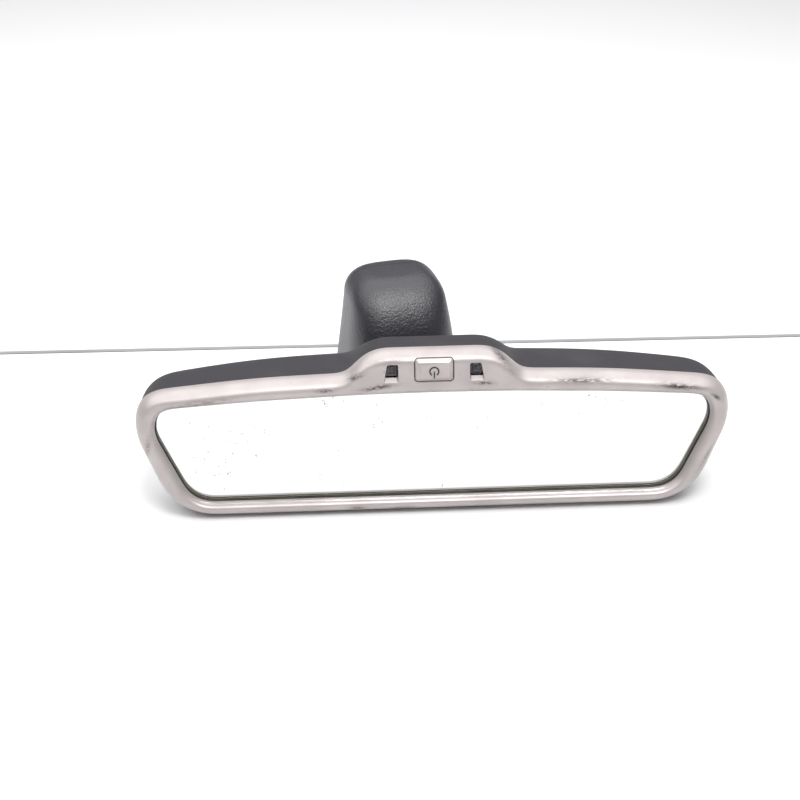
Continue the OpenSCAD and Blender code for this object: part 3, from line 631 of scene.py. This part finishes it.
# ---------- gasket, button and lenses ----------
def buildGasket():
    # soft-edged rubber ring: rows run round its section, columns round the glass
    section = np.array([
        (2.8, -0.45), (1.0, -0.45), (0.0, -0.45), (-0.2, -0.4), (-0.3, -0.28), (-0.3, -0.06), (2.2, -0.06),
        (2.3, 0.0), (2.3, 3.7), (2.9, 3.7), (2.9, -0.35),
    ])
    uv = innerRing[None] + outward[None] * section[:, 0, None, None]
    grid = headPoint(uv[..., 0], uv[..., 1], section[:, 1, None])
    piece = gridPiece("gasketRing", grid, finishes["gasket_black"], closeRows=True, flip=True)
    softenEdges(piece, 50.0)
    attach(piece, "head")
    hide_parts("glass_gasket")


def buildButton():
    # slightly dished face inside a flat bevel; the outline shrinks towards the face
    c = control
    w, h = c["button"]
    top = -(bezel["crest"] + c["proud"])
    face = np.linspace(c["faceInset"], c["bevel"], 7)
    insets = list(face) + [0.1, 0.0, 0.0]
    dished = list(top + c["dish"] * ((face - c["bevel"]) / c["dishRun"]) ** 0.8)
    depths = dished + [top + c["bevelDrop"], top + c["bevelDrop"] + 0.15, top + c["capDepth"]]
    outlines = [roundedBox(w - 2 * i, h - 2 * i, max(0.12, c["corner"] - 0.85 * i), 7) for i in insets]
    piece = prism("buttonCap", outlines, depths, finishes["button_silver"], centreV=c["buttonV"])
    softenEdges(piece, 22.0)
    setWear(piece, [(5, 31.4, 2.0, 0.6, 10, 0.3), (-6.5, 38.2, 1.5, 0.5, 0, 0.3)])
    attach(piece, "button")
    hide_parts("power_button")


symbol = {"radius": 1.85, "line": 0.58, "bar": 3.1, "gapAngle": 34.0, "v": 34.95, "raise": 0.05}


def buildSymbol():
    # open ring and bar, both thin raised slabs on the cap
    top = -(bezel["crest"] + control["proud"])
    angle = np.radians(np.linspace(-90 + symbol["gapAngle"], 270 - symbol["gapAngle"], 40))
    inner, outer = symbol["radius"] - symbol["line"] / 2, symbol["radius"] + symbol["line"] / 2
    radius = np.array([inner, outer, outer, inner])[:, None]
    lift = np.array([-symbol["raise"], -symbol["raise"], 0.5, 0.5])[:, None] + top
    ring = headPoint(radius * np.cos(angle), symbol["v"] + radius * np.sin(angle), lift)
    n = len(angle)
    ends = [[0, n, 2 * n, 3 * n], [4 * n - 1, 3 * n - 1, 2 * n - 1, n - 1]]
    faces = gridFaces(4, n, True, False).tolist() + ends
    bar = roundedBox(symbol["line"], symbol["bar"], symbol["line"] * 0.45, 4)
    m = len(bar)
    barPoints = headPoint(bar[None, :, 0], symbol["v"] - symbol["radius"] * 0.86 + bar[None, :, 1],
                          np.array([top - symbol["raise"], top + 0.5])[:, None]).reshape(-1, 3)
    start = 4 * n
    k = np.arange(m)
    sides = np.stack([start + k, start + (k + 1) % m, start + m + (k + 1) % m, start + m + k], -1).tolist()
    faces += sides + [(start + k[::-1]).tolist(), (start + m + k).tolist()]
    points = np.concatenate([ring.reshape(-1, 3), barPoints])
    piece = makeMesh("powerSymbol", points, faces, finishes["chip_black"], False)
    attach(piece, "button")


def buildLens(side, name, node):
    # smoked lens with upright ribs across its face
    ring = windowOutline(side, -control["lensGap"])
    rows = 14
    scale = np.linspace(0.06, 1.0, rows)
    mid = ring.mean(axis=0)
    rings = [mid + (ring - mid) * s for s in scale] + [ring]
    face = -(bezel["crest"] - control["lensDepth"])
    back = control["lensBack"]
    ribs = [control["rib"] * np.sin(r[:, 0] * 2 * math.pi / control["ribPitch"]) for r in rings[:-1]]
    depths = [face + rib for rib in ribs] + [back]
    grid = np.stack([headPoint(side * control["windowU"] + o[:, 0], control["windowV"] + o[:, 1], d)
                     for o, d in zip(rings, depths)])
    midU, midV = side * control["windowU"] + mid[0], control["windowV"] + mid[1]
    poles = [headPoint(midU, midV, d) for d in (face, back)]
    piece = gridPiece(name, grid, finishes["dark_lens"], poles=poles)
    softenEdges(piece, 50.0)
    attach(piece, "head")
    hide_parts(node)


buildGasket()
buildButton()
buildSymbol()
buildLens(-1, "glareLens", "glare_sensor_lens")
buildLens(1, "indicatorWindow", "indicator_lens")
print("controls built")

# ---------- foot cover ----------
cover = {
    "height": 74.5, "halfWidth": 31.0, "front": 30.5, "rear": 34.0, "round": 11.0, "crown": 22.0,
    "bend": 32.0, "wall": 2.0, "split": 12.0, "lift": 0.6, "draft": 0.13, "frontDraft": 0.105,
    "rearDraft": 0.12, "power": 3.3, "stations": 240, "rows": 60, "armGap": 1.5,
    "armCut": 30.0,
}


def signedPower(x, p):
    return np.sign(x) * np.abs(x) ** p


def towerSheet(z, wall, inset):
    # squared-off ovals stacked by height, drawn in at the sides and the rear
    # the front bends back over a taller arc
    c = cover
    z, inset = z[:, None], inset[:, None]
    bend = np.clip(1 - (c["height"] - wall - z) / (c["bend"] - wall), 0, 1)
    frontIn = wall + (c["crown"] - wall) * (1 - np.sqrt(1 - bend ** 2))
    t = -2 * math.pi * np.arange(c["stations"])[None, :] / c["stations"]
    a = c["halfWidth"] - c["draft"] * z - inset
    low = -c["front"] + c["frontDraft"] * z + frontIn
    high = c["rear"] - c["rearDraft"] * z - inset
    x = a * signedPower(np.cos(t), 2 / c["power"])
    y = (low + high) / 2 + (high - low) / 2 * signedPower(np.sin(t), 2 / c["power"])
    return np.stack([x, y, z + 0 * t])


def towerHalf(wall):
    c = cover
    angle = np.radians(np.linspace(90, 0, 22))
    shoulder = c["height"] - c["round"]
    r = c["round"] - wall
    z = np.concatenate([shoulder + r * np.sin(angle), np.linspace(shoulder, c["lift"], c["rows"])[1:]])
    return towerSheet(z, wall, np.concatenate([wall + r * (1 - np.cos(angle)), np.full(c["rows"] - 1, wall)]))


def towerShell(name):
    outside, inside = towerHalf(0.0), towerHalf(cover["wall"])
    x, y, z = np.concatenate([outside, inside[:, ::-1]], axis=1)
    poles = [footPoint(0.0, s[1, 0].mean(), s[2, 0, 0]) for s in (outside, inside)]
    return gridPiece(name, footPoint(x, y, z), finishes["cover_black"], poles=poles)


def footBox(low, high):
    x, y, z = np.meshgrid(*[np.array(p) for p in zip(low, high)], indexing="ij")
    faces = [[0, 1, 3, 2], [4, 6, 7, 5], [0, 4, 5, 1], [2, 3, 7, 6], [0, 2, 6, 4], [1, 5, 7, 3]]
    return makeMesh("footCut", footPoint(x, y, z).reshape(-1, 3), faces)


def armCutter(radius, length, steps=48):
    # closed tube along the arm, from the neck's end towards the foot
    slope = math.radians(ball["armSlope"])
    down = footPoint(0.0, math.cos(slope), -math.sin(slope)) / mm
    side = footPoint(1.0, 0.0, 0.0) / mm
    top = np.cross(side, down)
    t = 2 * math.pi * np.arange(steps) / steps
    ring = mm * radius * (np.cos(t)[:, None] * side + np.sin(t)[:, None] * top)
    ends = [ballAt + down * mm * d for d in (ball["neckEnd"], ball["neckEnd"] + length)]
    return gridPiece("armCut", np.stack([ring + e for e in ends]), None, poles=ends, flip=True)


def finishCover(piece, node):
    softenEdges(piece)
    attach(piece, "foot")
    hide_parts(node)


def buildCover():
    main = towerShell("coverShell")
    cutPiece(main, footBox((-60, cover["split"], -20), (60, 80, 120)))
    cutPiece(main, armCutter(ball["armRadius"] + cover["armGap"], cover["armCut"]))
    finishCover(main, "foot_cover")
    lid = towerShell("lidShell")
    cutPiece(lid, footBox((-60, -80, -20), (60, cover["split"] + 0.2, 120)))
    finishCover(lid, "rear_lid")


buildCover()
print("foot cover built")

# ---------- stage ----------
stage = {
    # the seam keys place a painted shade line: a grey strip for the shade where the table meets the backdrop
    "size": 3.0, "floor": (0.87, 0.87, 0.88), "joinShade": (0.26, 0.27, 0.27), "joinShadeY": 0.0717, "joinShadeWidth": 0.003,
    "joinShadeLift": 0.0004, "joinShadeTurn": -0.0145,
    "overhead": 22.0, "overheadAt": (-0.2, 0.12, 0.9), "overheadSize": 2.0,
    "front": 6.5, "frontAt": (0.15, -0.55, 1.1), "frontSize": 0.4, "world": 0.31,
}


def buildStage():
    s = stage["size"]
    corners = np.array([(-s, -s, 0), (s, -s, 0), (s, s, 0), (-s, s, 0)], float)
    floor = makeMesh("floor", corners, [[0, 1, 2, 3]])
    mat, tree, shader = newMaterial("paleFloor", Roughness=0.35)
    cloudy = remap(tree, noise(tree, objectCoords(tree), 3.0, 2.0), 0.3, 0.7)
    white = stage["floor"]
    colour = blendColour(tree, cloudy, white, tuple(c * 0.985 for c in white))
    tree.links.new(colour, shader.inputs["Base Color"])
    floor.data.materials.append(mat)
    # painted shade: a thin grey strip across the table behind the foot, a little askew, standing in for the shade
    # along the table's back edge
    near = stage["joinShadeY"]
    ends = [(x, near + x * stage["joinShadeTurn"]) for x in (-s, s)]
    low = [(x, y - stage["joinShadeWidth"] / 2, stage["joinShadeLift"]) for x, y in ends]
    high = [(x, y + stage["joinShadeWidth"] / 2, stage["joinShadeLift"]) for x, y in ends[::-1]]
    joinShade = makeMesh("tableJoinShade", np.array(low + high), [[0, 1, 2, 3]])
    # grey of the painted shade line along the table's back edge
    mat, tree, shader = newMaterial("joinShadeGrey", Roughness=0.8)
    cloudy = remap(tree, noise(tree, objectCoords(tree), 14.0, 3.0), 0.3, 0.7)
    grey = stage["joinShade"]
    tree.links.new(blendColour(tree, cloudy, grey, tuple(c * 1.3 for c in grey)), shader.inputs["Base Color"])
    joinShade.data.materials.append(mat)


def areaLight(name, place, aim, size, power):
    data = bpy.data.lights.new(name, "AREA")
    data.energy, data.size = power, size
    lamp = bpy.data.objects.new(name, data)
    lamp.location = place
    lamp.rotation_euler = (Vector(aim) - Vector(place)).to_track_quat("-Z", "Y").to_euler()
    bpy.context.scene.collection.objects.link(lamp)


def buildLights():
    x, y, z = stage["overheadAt"]
    areaLight("overhead", (x, y, z), (x, y, 0.0), stage["overheadSize"], stage["overhead"])
    areaLight("frontWindow", stage["frontAt"], (0, 0.05, 0.05), stage["frontSize"], stage["front"])
    world = bpy.data.worlds.new("studio")
    world.use_nodes = True
    world.node_tree.nodes["Background"].inputs["Color"].default_value = (1.0, 1.0, 1.0, 1.0)
    world.node_tree.nodes["Background"].inputs["Strength"].default_value = stage["world"]
    bpy.context.scene.world = world
    bpy.context.scene.view_settings.view_transform = "Standard"


buildStage()
buildLights()
print("stage set")
